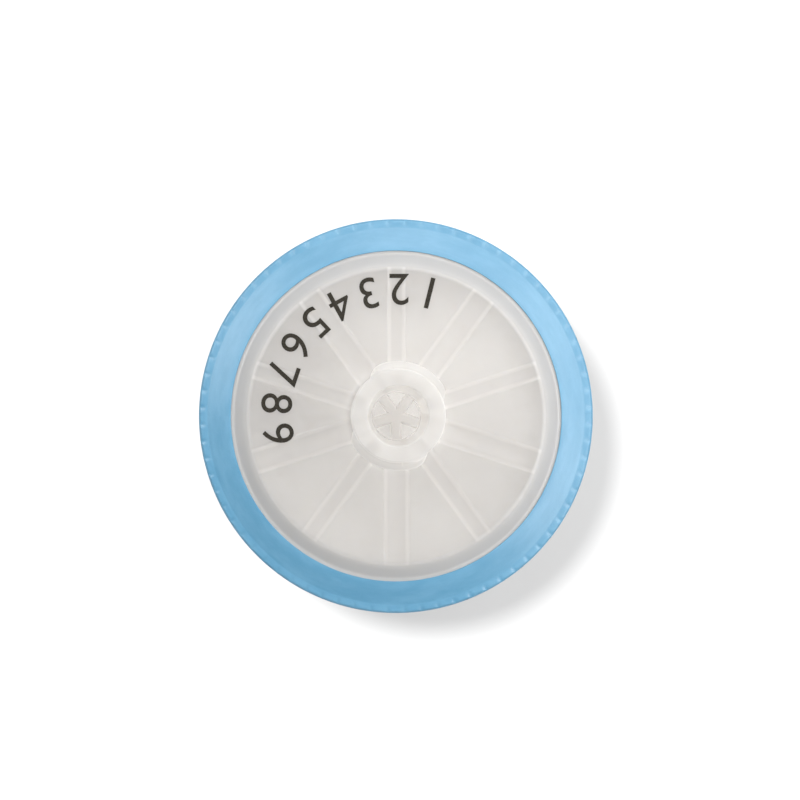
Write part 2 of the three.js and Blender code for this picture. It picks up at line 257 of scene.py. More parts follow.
# %% A socket that can be calculated with
class Wire:
    """The output socket of a shader node."""

    def __init__(self, tree, socket):
        self.tree = tree
        self.socket = socket

    def node(self, kind, sockets, output=0, **settings):
        """Adds a node: its settings first, then the values or links of its sockets."""
        added = self.tree.nodes.new(kind)
        for name, value in settings.items():
            setattr(added, name, value)
        for key, value in dict(sockets).items():
            if isinstance(value, Wire):
                self.tree.links.new(value.socket, added.inputs[key])
            else:
                added.inputs[key].default_value = value
        return Wire(self.tree, added.outputs[output])

    def math(self, operation, *values):
        """A Math node on this value and others."""
        return self.node("ShaderNodeMath", enumerate((self, *values)), operation=operation)

    def __add__(self, other):
        return self.math("ADD", other)

    __radd__ = __add__

    def __mul__(self, other):
        return self.math("MULTIPLY", other)

    __rmul__ = __mul__

    def __sub__(self, other):
        return self.math("SUBTRACT", other)

    def __rsub__(self, other):
        return self * -1 + other

    def __abs__(self):
        return self.math("ABSOLUTE")

    def rise(self, start, end):
        """0 up to start, 1 from end, and a soft step between."""
        sockets = {"Value": self, "From Min": start, "From Max": end}
        return self.node("ShaderNodeMapRange", sockets, interpolation_type="SMOOTHSTEP")

    def noise(self, scale, detail=3.0, roughness=0.5):
        """Cloudy noise on this vector, about 0.5 on average."""
        sockets = {"Vector": self, "Scale": scale, "Detail": detail, "Roughness": roughness}
        return self.node("ShaderNodeTexNoise", sockets)

    def mix(self, first, second):
        """A colour: first where this value is 0, second where it is 1."""
        sockets = {0: self, 6: first, 7: second}
        return self.node("ShaderNodeMix", sockets, output=2, data_type="RGBA")


def highest(wires):
    """The highest of several values, point by point."""
    top, *others = wires
    for other in others:
        top = top.math("MAXIMUM", other)
    return top


# %% A material and its place on the piece
class Finish:
    """A Principled material with the piece's own coordinates, in millimetres."""

    def __init__(self, name, **fixed):
        self.material = bpy.data.materials.new(name)
        self.material.use_nodes = True
        tree = self.material.node_tree
        self.surface = tree.nodes["Principled BSDF"]
        for socket, value in fixed.items():
            self.surface.inputs[socket.replace("_", " ")].default_value = value
        metres = Wire(tree, tree.nodes.new("ShaderNodeTexCoord").outputs["Object"])
        sockets = {"Vector": metres, "Scale": 1 / MM}
        self.place = metres.node("ShaderNodeVectorMath", sockets, operation="SCALE")
        self.x, self.y, self.z = (
            metres.node("ShaderNodeSeparateXYZ", {"Vector": self.place}, output=axis)
            for axis in range(3)
        )
        self.radius = (self.x * self.x + self.y * self.y).math("SQRT")
        self.angle = self.y.math("ARCTAN2", self.x)
        normal = Wire(tree, tree.nodes.new("ShaderNodeNewGeometry").outputs["Normal"])
        self.upward = normal.node("ShaderNodeSeparateXYZ", {"Vector": normal}, output=2)
        rays = tree.nodes.new("ShaderNodeLightPath").outputs
        self.shadow_ray = Wire(tree, rays["Is Shadow Ray"])

    def feed(self, **wires):
        """Links the values that change over the surface."""
        for socket, wire in wires.items():
            target = self.surface.inputs[socket.replace("_", " ")]
            wire.tree.links.new(wire.socket, target)

    def bump(self, height, depth):
        """A relief of the given depth in millimetres."""
        sockets = {"Height": height, "Distance": depth * MM}
        self.feed(Normal=height.node("ShaderNodeBump", sockets))


# %% [markdown]
# ## Natural polypropylene
# Unpigmented polypropylene scatters light inside the wall, so a thin wall is half clear and a
# thick one is white. Each skin here lets part of the light straight through, which shows the
# membrane, the ribs and their soft shadows inside at no cost in noise. Where the wall is thicker,
# over a rib or a flange, the skin is made more solid and whiter. The light that wanders inside the
# plastic also fills the shadows that the plastic throws, so these are weakened.

# %% How solid the plastic looks, as Alpha
THIN_WALL = 0.42
RIB_WALL = 0.54
# painted highlight: along the rib fillets the skin is more solid than over the rib itself
RIB_ROOT_HIGHLIGHT = 0.62
HUB_WALL = 0.55
THICK_WALL = 0.92
MOST_SOLID = 0.95
BORE_THINNER = 0.25  # taken off where the wall of the bore and the star are seen
LUG_THICKER = 0.1  # added on the lugs
print(f"Alpha runs from {THIN_WALL} on a thin wall to {MOST_SOLID} at most")

# %% Masks that follow the ribs
SOFT_EDGE = 0.10  # millimetres


def spokes(finish, count, first_degrees):
    """Distance along and across the nearest of count spokes."""
    half = math.pi / count
    turned_back = finish.angle - math.radians(first_degrees)
    off = turned_back.math("WRAP", half, -half)
    return finish.radius * off.math("COSINE"), abs(finish.radius * off.math("SINE"))


def rib_cover(along, across, width, start, end):
    """1 over a rib, fading over its soft edges and ends."""
    inside = 1 - across.rise(width / 2 - SOFT_EDGE, width / 2 + SOFT_EDGE)
    beyond_start = along.rise(start - SOFT_EDGE, start + SOFT_EDGE)
    before_end = 1 - along.rise(end - SOFT_EDGE, end + SOFT_EDGE)
    return inside * beyond_start * before_end


# %% [markdown]
# The ribs of the inlet plate stand in two sets of five: wide ones that run on across the bore as a
# star, and narrow ones between them. Their roots are filleted, and along the fillets the skin is
# made more solid and whiter: a painted highlight of two fine lines along each rib.

# %% Ribs of the inlet plate
RIB_SETS = {  # first direction, width, start
    "wide": (-90.0, 1.45, NECK_RADIUS),
    "narrow": (-54.0, 0.92, NECK_RADIUS + 0.7),
}
RIBS_PER_SET = 5
RIB_HEIGHT = 0.9
ROOT_FILLET = 0.22
FILLET_LAP = 0.1  # the light line of a fillet laps this far over the rib
for kind, (_, width, start) in RIB_SETS.items():
    print(f"{kind} ribs: {width} wide, from {start:.2f} to {RIB_END_RADIUS:.2f} mm")


# %% Masks for the bore, the lugs and the hub
def in_bore(finish):
    """1 on the wall of the socket and on the star under it."""
    return 1 - finish.radius.rise(SOCKET_MOUTH - 0.05, SOCKET_MOUTH + 0.1)


def on_lugs(finish):
    """1 on the skin of the two thread fragments."""
    high = finish.z.rise(INLET_FACE + 2.0, INLET_FACE + 3.0)
    return finish.radius.rise(HUB_RADIUS, HUB_RADIUS + 0.2) * high


def above_plate(finish, full):
    """0 on the inlet plate, 1 from the given height above it."""
    return finish.z.rise(INLET_FACE + 0.1, INLET_FACE + full)


# %% Alpha of the inlet half
def inlet_solidity(finish):
    """Thin over the chamber, thicker over ribs, flange and hub; rib fillets get painted highlights.
    """
    covers, fillet_highlights = [], []
    for first, width, start in RIB_SETS.values():
        along, across = spokes(finish, RIBS_PER_SET, first)
        cover = rib_cover(along, across, width + 2 * ROOT_FILLET, start, RIB_END_RADIUS)
        back = rib_cover(along, across, width - FILLET_LAP, start, RIB_END_RADIUS)
        covers.append(cover)
        fillet_highlights.append(cover - back)
    # the rib cover follows thickness; the extra along the fillets is a painted highlight
    ribbed = highest(covers) * (RIB_WALL - THIN_WALL) + highest(fillet_highlights) * (RIB_ROOT_HIGHLIGHT - RIB_WALL)
    thick = finish.radius.rise(PLATE_RADIUS - 0.25, PLATE_RADIUS + 0.3)
    hub = above_plate(finish, 0.6)
    return (
        THIN_WALL
        + ribbed * (1 - above_plate(finish, 0.3))
        + thick * (THICK_WALL - THIN_WALL)
        + hub * (HUB_WALL - THIN_WALL)
        - in_bore(finish) * hub * BORE_THINNER
        + on_lugs(finish) * LUG_THICKER
    ).math("MINIMUM", MOST_SOLID)


# %% [markdown]
# Light also soaks along inside the thick hub and comes out of its steep walls, on the side away
# from the lamps too. A skin can't carry light that far, so a faint glow of its own stands in for
# it: on the hub's wall, its rim and its foot, and down the bore. The lugs are solid and glow less.

# %% Glow of the inlet half, in shares of white
HUB_GLOW = 0.14
RIM_GLOW = 0.15
FOOT_GLOW = 0.08
BORE_GLOW = 0.17
LUG_DIMS = 0.35  # share that the rim's glow loses on the lugs
STAR_DIMS = 0.3  # share that the bore's glow loses on the star
print(f"the hub glows by {HUB_GLOW} to {HUB_GLOW + RIM_GLOW:.2f}, the bore by {BORE_GLOW}")


def steepness(finish):
    """1 on walls and undersides, 0 on faces that look up."""
    return 1 - finish.upward.rise(0.3, 0.8)


def inlet_glow(finish):
    """Painted glow for light that soaks through the hub's thick walls and out again."""
    hub = above_plate(finish, 2.0)
    star = 1 - finish.z.rise(CHAMBER_ROOF + 0.3, CHAMBER_ROOF + 0.8)
    bore = in_bore(finish)
    steep = steepness(finish)
    rim = finish.z.rise(HUB_TOP - 1.6, HUB_TOP - 0.5) * (1 - finish.upward.rise(0.6, 0.98))
    rim = rim * (1 - on_lugs(finish) * LUG_DIMS)
    beside_hub = finish.radius.rise(HUB_RADIUS - 0.4, HUB_RADIUS) * (
        1 - finish.radius.rise(HUB_RADIUS + 0.2, HUB_RADIUS + 1.3)
    )
    foot = beside_hub * (1 - finish.z.rise(INLET_FACE + 0.5, INLET_FACE + 1.5))
    walls = hub * (steep * HUB_GLOW + rim * RIM_GLOW) + foot * FOOT_GLOW
    return bore * (1 - star * STAR_DIMS) * steep * BORE_GLOW + (1 - bore) * walls


# %% [markdown]
# The colour has three parts. The milk in the plastic isn't quite even, so two near whites drift
# over it in large clouds. Thick walls are whiter. And beside the blue ring a painted shade makes the
# slope darker and bluer, for the light that soaks on into the ring there.

# %% The colours of the natural plastic
PLASTIC_CLEAR = (0.67, 0.65, 0.63, 1)
PLASTIC_CLOUD = (0.64, 0.618, 0.598, 1)
PLASTIC_THICK = (0.735, 0.715, 0.69, 1)
# painted shade: a darker, bluer grey laid on the slope beside the ring
PLASTIC_PAINTED_SHADE = (0.43, 0.45, 0.47, 1)
PLASTIC_GLOW = (1.0, 0.97, 0.93, 1)
NO_GLOW = (0, 0, 0, 1)
RIB_WHITENS = 0.5  # share of the thick walls' white that a rib has
# painted shade beside the ring, for the light that soaks on into it
PAINTED_RING_SHADE = 0.45  # share of the light that soaks into the ring
SHADOW_LOSS = 0.6  # share of a shadow that the light inside the plastic fills in again
CLOUD_DRIFT = 0.05  # in Alpha
print("thin plastic is", PLASTIC_CLEAR[:3], "and thick plastic", PLASTIC_THICK[:3])

# %% How light and touch meet the natural plastic
SOAK_SHARE, SOAK_DEPTH = 0.6, 0.002  # of the light, and metres
SOAK_SPREAD = (1.0, 0.95, 0.85)  # red light soaks furthest
CLOUD_SCALE, GRAIN_SCALE = 0.35, 6.0  # of the noise, per millimetre
SATIN, SATIN_DRIFT = 0.26, 0.14  # roughness, and what the grain adds to it
PLASTIC_RELIEF = 0.004  # millimetres
print(f"light soaks {SOAK_DEPTH / MM:.1f} mm into the plastic")


# %% The natural plastic
def natural_plastic(name, solidity, glow):
    """Cloudy, slightly warm plastic with a satin skin."""
    finish = Finish(name, IOR=1.49, Subsurface_Weight=SOAK_SHARE, Subsurface_Scale=SOAK_DEPTH)
    finish.surface.inputs["Subsurface Radius"].default_value = SOAK_SPREAD
    finish.surface.inputs["Emission Strength"].default_value = 1
    cloud = finish.place.noise(CLOUD_SCALE, detail=2.0)
    grain = finish.place.noise(GRAIN_SCALE, detail=4.0)
    cover = solidity(finish)
    hub = above_plate(finish, 0.8)
    # thick walls are whiter; along the rib fillets the extra white is a painted highlight
    thicker = hub.math("MAXIMUM", cover.rise(THIN_WALL, RIB_ROOT_HIGHLIGHT) * RIB_WHITENS)
    slope = finish.radius.rise(PLATE_RADIUS - 0.4, PLATE_RADIUS + 0.6)
    land = finish.radius.rise(LAND_INNER_RADIUS - 0.2, LAND_INNER_RADIUS + 0.1)
    milk = thicker.mix(cloud.rise(0.35, 0.7).mix(PLASTIC_CLEAR, PLASTIC_CLOUD), PLASTIC_THICK)
    finish.feed(
        # painted shade: the slope beside the ring is darkened towards a bluer grey
        Base_Color=(slope * (1 - land) * PAINTED_RING_SHADE).mix(milk, PLASTIC_PAINTED_SHADE),
        Roughness=SATIN + grain * SATIN_DRIFT,
        Alpha=(cover + (cloud - 0.5) * CLOUD_DRIFT) * (1 - finish.shadow_ray * SHADOW_LOSS),
        Emission_Color=glow(finish).mix(NO_GLOW, PLASTIC_GLOW),
    )
    finish.bump(grain + cloud * 2, PLASTIC_RELIEF)
    return finish.material


inlet_plastic = natural_plastic("natural_plastic_inlet", inlet_solidity, inlet_glow)
print("made", inlet_plastic.name)

# %% [markdown]
# ## The inlet half
# The upper half is the one that the syringe locks on to. It could be cut out of solid cylinders,
# but turning one section gives all its walls and fillets at once: plate, flange, hub and socket.
# The ribs hang under the plate. A rib's own section has flared roots and a rounded foot, and is
# pulled out along its length. Five ribs run on across the bore, narrower and with rounded backs.

# %% Turned body of the inlet half
HUB_DRAFT = 0.1
MOUTH_CHAMFER = 0.08
flange_top = LANDS[1] - SEAT_DEPTH
weld = WELD_LEVEL + GAP / 2
inlet_section = [
    (FLANGE_RADIUS, weld, 0),
    (FLANGE_RADIUS, flange_top, 0),
    (RING_INNER_RADIUS, flange_top, 0),
    (RING_INNER_RADIUS, LANDS[1], 0.02),
    (LAND_INNER_RADIUS, LANDS[1], 0.1),
    (PLATE_RADIUS, INLET_FACE, 0.22),
    (HUB_RADIUS + HUB_DRAFT, INLET_FACE, 0.45),
    (HUB_RADIUS, HUB_TOP, 0.16),
    (SOCKET_MOUTH + MOUTH_CHAMFER, HUB_TOP, 0.03),
    (SOCKET_MOUTH, HUB_TOP - MOUTH_CHAMFER, 0.03),
    (SOCKET_FOOT_RADIUS, SOCKET_FOOT, 0),
    (NECK_RADIUS, SOCKET_FOOT, 0.04),
    (NECK_RADIUS, CHAMBER_ROOF, 0.1),
    (CHAMBER_RADIUS, CHAMBER_ROOF, 0.15),
    (CHAMBER_RADIUS, MEMBRANE_TOP + GAP, 0),
    (POCKET_RADIUS, MEMBRANE_TOP + GAP, 0),
    (POCKET_RADIUS, weld, 0),
]
inlet_body = turned(inlet_section)
print("inlet body:", len(inlet_body.faces), "faces")

# %% A bar along a spoke
EMBED = 0.3  # how far an added body reaches into the one that carries it


def spoke_bar(corners, start, length, degrees):
    """A bar of the given section, pulled out along a spoke."""
    bm = section(corners, lambda across, level: Vector((start, across, level)))
    face = bmesh.ops.contextual_create(bm, geom=bm.edges[:])["faces"]
    pulled_out(bm, face, (length, 0, 0))
    turned_to(bm, degrees)
    bmesh.ops.recalc_face_normals(bm, faces=bm.faces)
    return bm


# %% One rib
RIB_DRAFT = 0.06  # width lost on each side per millimetre of height
RIB_EDGE = 0.1


def rib(degrees, start, end, width, root, foot, fillet):
    """A radial rib from its root level to its foot level, with flared roots."""
    down = math.copysign(1, foot - root)
    slim = width / 2 - RIB_DRAFT * abs(foot - root)
    half = [
        (width / 2 + fillet, root - down * EMBED, 0),
        (width / 2 + fillet, root, 0),
        (width / 2, root, fillet * 0.95),
        (slim, foot, RIB_EDGE),
    ]
    mirrored = [(-across, level, setback) for across, level, setback in reversed(half)]
    return spoke_bar(half + mirrored, start, end - start, degrees)


# %% The ribs under the plate
RIB_FOOT = CHAMBER_ROOF - RIB_HEIGHT
ribs = []
for first, width, start in RIB_SETS.values():
    for k in range(RIBS_PER_SET):
        degrees = first + k * 360 / RIBS_PER_SET
        ribs.append(
            rib(degrees, start, RIB_END_RADIUS, width, CHAMBER_ROOF, RIB_FOOT, ROOT_FILLET)
        )
print(len(ribs), "ribs")

# %% The star in the bore
STAR_ARM = 0.87
STAR_RISE = 0.4  # over the chamber's roof
STAR_DRAFT = 0.03


def star_arm(degrees):
    """One arm of the star, with a rounded back where the liquid meets it."""
    slim = STAR_ARM / 2 - STAR_DRAFT
    corners = [
        (-STAR_ARM / 2, RIB_FOOT, 0.08),
        (STAR_ARM / 2, RIB_FOOT, 0.08),
        (slim, CHAMBER_ROOF + STAR_RISE, 0.2),
        (-slim, CHAMBER_ROOF + STAR_RISE, 0.2),
    ]
    return spoke_bar(corners, 0, NECK_RADIUS + EMBED, degrees)


star = [star_arm(RIB_SETS["wide"][0] + k * 360 / RIBS_PER_SET) for k in range(RIBS_PER_SET)]
print(len(star), "star arms")

# %% [markdown]
# ### The thread fragments
# A locking syringe grips two short threads on the hub. A curve with a bevel could draw them, but
# its ends would stay blunt tubes. Here each is a small section swept round the hub while it
# climbs, which is a spin with a lift at each step. Then its ends are eased into the wall.

# %% Sizes of the lugs
LUG_SPAN = 115  # degrees
LUG_FIRST = 15  # degrees
LUG_STEPS = 46
LUG_LEAD = 5.0  # climb in a full turn
LUG_RADIUS = HUB_RADIUS + 0.56
LUG_FOOT, LUG_CREST = 1.05, 0.3  # half its height at the wall, and at the crest
LUG_ROUNDING = 0.14
LUG_BELOW_FACE = 0.4
LUG_RAMP = 24  # degrees over which each end sinks into the wall
BLUNT_END = 3  # degrees of that ramp that are left off
FACE_MARGIN = 0.02  # keeps the lugs just under the hub's face
lug_climb = LUG_LEAD * LUG_SPAN / 360
lug_root = HUB_RADIUS - EMBED
print(f"each lug climbs {lug_climb:.2f} mm in {LUG_SPAN} degrees")


# %% Sweep a lug, and ease its ends
def swept_lug():
    """A lug's section spun round the hub while it climbs."""
    crest = HUB_TOP - LUG_BELOW_FACE - lug_climb
    corners = [
        (lug_root, crest - LUG_FOOT, 0),
        (lug_root, crest + LUG_FOOT, 0),
        (LUG_RADIUS, crest + LUG_CREST, LUG_ROUNDING),
        (LUG_RADIUS, crest - LUG_CREST, LUG_ROUNDING),
    ]
    bm = section(corners, upright)
    bmesh.ops.contextual_create(bm, geom=bm.edges[:])
    bmesh.ops.spin(
        bm, geom=bm.faces[:], cent=(0, 0, 0), axis=(0, 0, 1), angle=math.radians(LUG_SPAN),
        dvec=(0, 0, lug_climb / LUG_STEPS), steps=LUG_STEPS,
    )
    return bm


def ease_ends(bm):
    """Draws both ends of a lug into the wall."""
    for vert in bm.verts:
        reach = math.hypot(vert.co.x, vert.co.y)
        along = math.degrees(math.atan2(vert.co.y, vert.co.x))
        share = min(1, (min(along, LUG_SPAN - along) + BLUNT_END) / LUG_RAMP)
        ease = math.sin(share * math.pi / 2)
        shrink = (lug_root + (reach - lug_root) * ease) / reach
        vert.co.x *= shrink
        vert.co.y *= shrink


# %% Two helical lugs
def lug(first_degrees):
    """One thread fragment, its high end just under the hub's face."""
    bm = swept_lug()
    ease_ends(bm)
    turned_to(bm, first_degrees)
    bmesh.ops.bisect_plane(
        bm, geom=bm.verts[:] + bm.edges[:] + bm.faces[:], plane_co=(0, 0, HUB_TOP - FACE_MARGIN),
        plane_no=(0, 0, 1), clear_outer=True,
    )
    bmesh.ops.holes_fill(bm, edges=[edge for edge in bm.edges if edge.is_boundary], sides=0)
    bmesh.ops.recalc_face_normals(bm, faces=bm.faces)
    return bm


lugs = [lug(LUG_FIRST), lug(LUG_FIRST + 180)]
print(len(lugs), "lugs,", LUG_SPAN, "degrees each")

# %% The inlet half as one skin
inlet = united("inlet_half", inlet_body, ribs + star + lugs)
piece("inlet_half", inlet, inlet_plastic, stands_for="inlet_housing")

# %% [markdown]
# ## The outlet half
# The lower half repeats the plate and flange. A tapered tip takes the needle or tube, and forty
# low ribs hold the membrane up and let the filtrate run to the bore. Its tools are those of the
# upper half: a turned section, ribs that are joined to it, and a finish that follows the ribs.

# %% Drain ribs of the outlet plate
DRAIN_RIBS = 40
DRAIN_RIB = 0.55
DRAIN_STARTS = (1.7, 6.0, 3.3, 6.0)  # one long rib, a short one, a middling one, a short one
DRAIN_FIRST = -90  # degrees
drain_step = 360 / DRAIN_RIBS
print(DRAIN_RIBS, "drain ribs, one every", drain_step, "degrees")

# %% How solid the outlet half looks, as Alpha
OUTLET_WALL = 0.5
DRAIN_THICKER = 0.16
BOSS_THICKER = 0.12
OUTLET_RIM_THICKER = 0.22


def outlet_solidity(finish):
    """Thin over the chamber, thicker over the drain ribs, the rim, the boss and the tip."""
    covers = []
    for k, start in enumerate(DRAIN_STARTS):
        first = DRAIN_FIRST + k * drain_step
        along, across = spokes(finish, DRAIN_RIBS // len(DRAIN_STARTS), first)
        covers.append(rib_cover(along, across, DRAIN_RIB, start, RIB_END_RADIUS))
    over_boss = finish.z.rise(OUTLET_FACE - 0.5, OUTLET_FACE - 0.3)
    thick = finish.radius.rise(CHAMBER_RADIUS - 0.1, CHAMBER_RADIUS + 0.1)
    return (
        OUTLET_WALL
        + highest(covers) * over_boss * DRAIN_THICKER
        + thick * OUTLET_RIM_THICKER
        + (1 - over_boss) * BOSS_THICKER
    ).math("MINIMUM", MOST_SOLID)


# %% Glow of the outlet half, in shares of white
UNDERSIDE_GLOW = 0.18
TIP_GLOW = 0.08  # more than that, towards the end of the tip


def outlet_glow(finish):
    """Painted glow on the shaded underside, for light that soaks down through the plates into the
    tip.
    """
    below = 1 - finish.z.rise(OUTLET_FACE + 0.1, OUTLET_FACE + 0.5)
    tip = 1 - finish.z.rise(TIP_LENGTH - 0.5, OUTLET_FACE)
    return below * (UNDERSIDE_GLOW + tip * TIP_GLOW) * steepness(finish)


outlet_plastic = natural_plastic("natural_plastic_outlet", outlet_solidity, outlet_glow)
print("made", outlet_plastic.name)

# %% Turned body of the outlet half
TIP_RADIUS = 1.97
TIP_DRAFT = 0.02
BORE_RADIUS = 1.05
BORE_TAPER = 0.02
BOSS_RADIUS = 3.2
bore_top = BORE_RADIUS + BORE_TAPER * DRAIN_FLOOR
flange_bottom = LANDS[0] + SEAT_DEPTH
outlet_section = [
    (BORE_RADIUS, 0, 0.06),
    (TIP_RADIUS - TIP_DRAFT, 0, 0.16),
    (TIP_RADIUS + CONE_TAPER * TIP_LENGTH, TIP_LENGTH, 0.12),
    (BOSS_RADIUS, TIP_LENGTH, 0.12),
    (BOSS_RADIUS, OUTLET_FACE, 0.35),
    (PLATE_RADIUS, OUTLET_FACE, 0.22),
    (LAND_INNER_RADIUS, LANDS[0], 0.1),
    (RING_INNER_RADIUS, LANDS[0], 0.02),
    (RING_INNER_RADIUS, flange_bottom, 0),
    (FLANGE_RADIUS, flange_bottom, 0),
    (FLANGE_RADIUS, WELD_LEVEL - GAP / 2, 0),
    (POCKET_RADIUS, WELD_LEVEL - GAP / 2, 0),
    (POCKET_RADIUS, MEMBRANE_BOTTOM - GAP, 0),
    (CHAMBER_RADIUS, MEMBRANE_BOTTOM - GAP, 0),
    (CHAMBER_RADIUS, DRAIN_FLOOR, 0.15),
    (bore_top, DRAIN_FLOOR, 0.15),
]
outlet_body = turned(outlet_section)
print("outlet body:", len(outlet_body.faces), "faces")

# %% The drain ribs and the outlet half as one skin
DRAIN_FILLET = 0.1
top = MEMBRANE_BOTTOM - GAP
drain_ribs = []
for k in range(DRAIN_RIBS):
    degrees = DRAIN_FIRST + k * drain_step
    start = DRAIN_STARTS[k % len(DRAIN_STARTS)]
    drain_ribs.append(
        rib(degrees, start, RIB_END_RADIUS, DRAIN_RIB, DRAIN_FLOOR, top, DRAIN_FILLET)
    )
outlet = united("outlet_half", outlet_body, drain_ribs)
piece("outlet_half", outlet, outlet_plastic, stands_for="outlet_housing")

# %% [markdown]
# ## The grip ring
# Blue polypropylene is shot round the two flanges and locks them together. From the land it falls
# outwards in a gentle band and a steeper cone, and ends in a narrow ledge along the rim. 72 flutes
# cut each ledge into pads for the fingers. Cutting 144 flutes with booleans would be slow and
# would leave hard edges. Spinning the section with 16 steps for each flute leaves points enough to
# press the flutes in by moving them, and their sides stay soft.

# %% Levels of the ring, from its middle
LAP = 0.01  # the ring reaches this far into the land, so that no slit is left
RIM_DRAFT = 0.06
BAND_WIDTH, BAND_DROP = 0.6, 0.13
CONE_DROP = 0.40
LEDGE_WIDTH, LEDGE_DROP = 0.66, 0.06
RIM_BEVEL = 0.14
PARTING_BAND = 0.7
half_height = (RING_TOP - RING_BOTTOM) / 2
land_height = LANDS[1] - RING_MIDDLE
seat = land_height - SEAT_DEPTH + GAP
inner_edge = RING_INNER_RADIUS - LAP
rim = RING_RADIUS - RIM_DRAFT
band_foot = half_height - BAND_DROP
cone_foot = band_foot - CONE_DROP
ledge = cone_foot - LEDGE_DROP
print(f"crest {half_height:.2f}, cone {band_foot:.2f} to {cone_foot:.2f}, ledge {ledge:.2f} mm")

# %% Section of the ring
LEDGE_POINTS = 3  # points that the flutes need along the ledge
WALL_POINTS = 5  # and down the wall


def between(first, last, count):
    """Points on the line between two corners, without rounding."""
    shares = [k / (count + 1) for k in range(1, count + 1)]
    return [(*(a + (b - a) * t for a, b in zip(first, last)), 0) for t in shares]


wall_foot = (RING_RADIUS, PARTING_BAND / 2)
wall_top = (rim, ledge - RIM_BEVEL)
ledge_edge = (rim - RIM_BEVEL, ledge)
ledge_root = (rim - LEDGE_WIDTH, cone_foot)
upper_half = [
    (*wall_foot, 0),
    *between(wall_foot, wall_top, WALL_POINTS),
    (*wall_top, 0.04),
    (*ledge_edge, 0.06),
    *between(ledge_edge, ledge_root, LEDGE_POINTS),
    (*ledge_root, 0.06),
    (inner_edge + BAND_WIDTH, band_foot, 0.3),
    (inner_edge, half_height, 0.03),
    (inner_edge, seat, 0),
    (FLANGE_RADIUS + GAP, seat, 0),
]
lower_half = [(radius, -height, setback) for radius, height, setback in reversed(upper_half)]
print(len(upper_half) * 2, "corners in the ring's section")

# %% Press the flutes in
FLUTES = 72
STEPS_PER_FLUTE = 16
FLUTE_WIDTH = 0.30
FLUTE_START = 0.06  # from the root of the ledge
FLUTE_FALL = 0.25  # height lost per millimetre outwards
FLUTE_EASE = 0.20  # width of its soft sides
BUNCHING = 0.6  # draws the steps together at the flutes


def press_flutes(bm):
    """Lowers the points of a spun ring on to the floors of its flutes."""
    pitch = ROUND / FLUTES
    flute_root = ledge_root[0] + FLUTE_START
    for vert in bm.verts:
        radius = math.hypot(vert.co.x, vert.co.y)
        turns = math.atan2(vert.co.y, vert.co.x) / pitch - 0.5
        middle = round(turns)
        share = turns - middle
        share -= BUNCHING * math.sin(ROUND * share) / ROUND
        angle = (middle + share + 0.5) * pitch
        vert.co.x, vert.co.y = radius * math.cos(angle), radius * math.sin(angle)
        across = abs(share * pitch * radius)
        side = (across - FLUTE_WIDTH / 2) / FLUTE_EASE + 0.5
        pressed = 1 - min(max(side, 0), 1)
        floor_height = cone_foot - FLUTE_FALL * (radius - flute_root)
        above_floor = max(0, abs(vert.co.z) - floor_height)
        if radius > flute_root:
            vert.co.z -= math.copysign(above_floor * pressed, vert.co.z)


print(f"flutes {FLUTE_WIDTH} wide, {ROUND * rim / FLUTES:.2f} mm apart")

# %% Copy one flute's share round
SHARE_GAP = 1e-3  # millimetres: neighbouring shares meet as closely as this


def fluted_ring():
    """One flute's share of the ring, copied round."""
    bm = section(upper_half + lower_half, upright)
    about_axis = {"cent": (0, 0, 0), "axis": (0, 0, 1), "dvec": (0, 0, 0)}
    wire = bm.verts[:] + bm.edges[:]
    bmesh.ops.spin(bm, geom=wire, angle=ROUND / FLUTES, steps=STEPS_PER_FLUTE, **about_axis)
    press_flutes(bm)
    share = bm.verts[:] + bm.edges[:] + bm.faces[:]
    rest = ROUND * (FLUTES - 1) / FLUTES
    bmesh.ops.spin(bm, geom=share, angle=rest, steps=FLUTES - 1, use_duplicate=True, **about_axis)
    bmesh.ops.remove_doubles(bm, verts=bm.verts, dist=SHARE_GAP)
    bmesh.ops.recalc_face_normals(bm, faces=bm.faces)
    bmesh.ops.translate(bm, verts=bm.verts, vec=(0, 0, RING_MIDDLE))
    return bm


ring = fluted_ring()
print("ring:", len(ring.faces), "faces,", FLUTES, "flutes")

# %% [markdown]
# The pigment of the ring isn't perfectly mixed: the colour drifts a little round the ring, in
# streaks that follow the way the plastic flowed. Noise on plain coordinates gives round clouds, so
# the angle and the radius are its coordinates here, which draws it out. The skin is satin.

# %% The colour and skin of the blue plastic
BLUE_DEEP = (0.108, 0.330, 0.515, 1)
BLUE_PALE = (0.152, 0.388, 0.580, 1)
BLUE_SPREAD = (0.5, 0.8, 1.0)  # blue light soaks furthest
STREAK_TURN, STREAK_FINENESS = 6.0, 1.4  # long round the ring, narrow across it
BLUE_SATIN, STREAK_DRIFT, GRAIN_DRIFT = 0.27, 0.12, 0.08  # roughness, and what is added to it
BLUE_RELIEF = 0.006  # millimetres
print("blue from", BLUE_DEEP[:3], "to", BLUE_PALE[:3])


# %% The blue plastic
def blue_plastic():
    """Satin blue with a few uneven streaks."""
    finish = Finish(
        "blue_plastic", IOR=1.49, Subsurface_Weight=0.12, Subsurface_Scale=0.0006,
        Coat_Weight=0.4, Coat_Roughness=0.3,
    )
    finish.surface.inputs["Subsurface Radius"].default_value = BLUE_SPREAD
    flow = finish.angle.node(
        "ShaderNodeCombineXYZ",
        {0: finish.angle * STREAK_TURN, 1: finish.radius * STREAK_FINENESS, 2: finish.z},
    )
    streaks = flow.noise(0.9, detail=4.0, roughness=0.6)
    grain = finish.place.noise(7.0)
    finish.feed(
        Base_Color=streaks.rise(0.3, 0.75).mix(BLUE_DEEP, BLUE_PALE),
        Roughness=BLUE_SATIN + streaks * STREAK_DRIFT + grain * GRAIN_DRIFT,
    )
    finish.bump(grain + streaks, BLUE_RELIEF)
    return finish.material


piece("grip_ring", ring, blue_plastic(), stands_for="outer_ring")

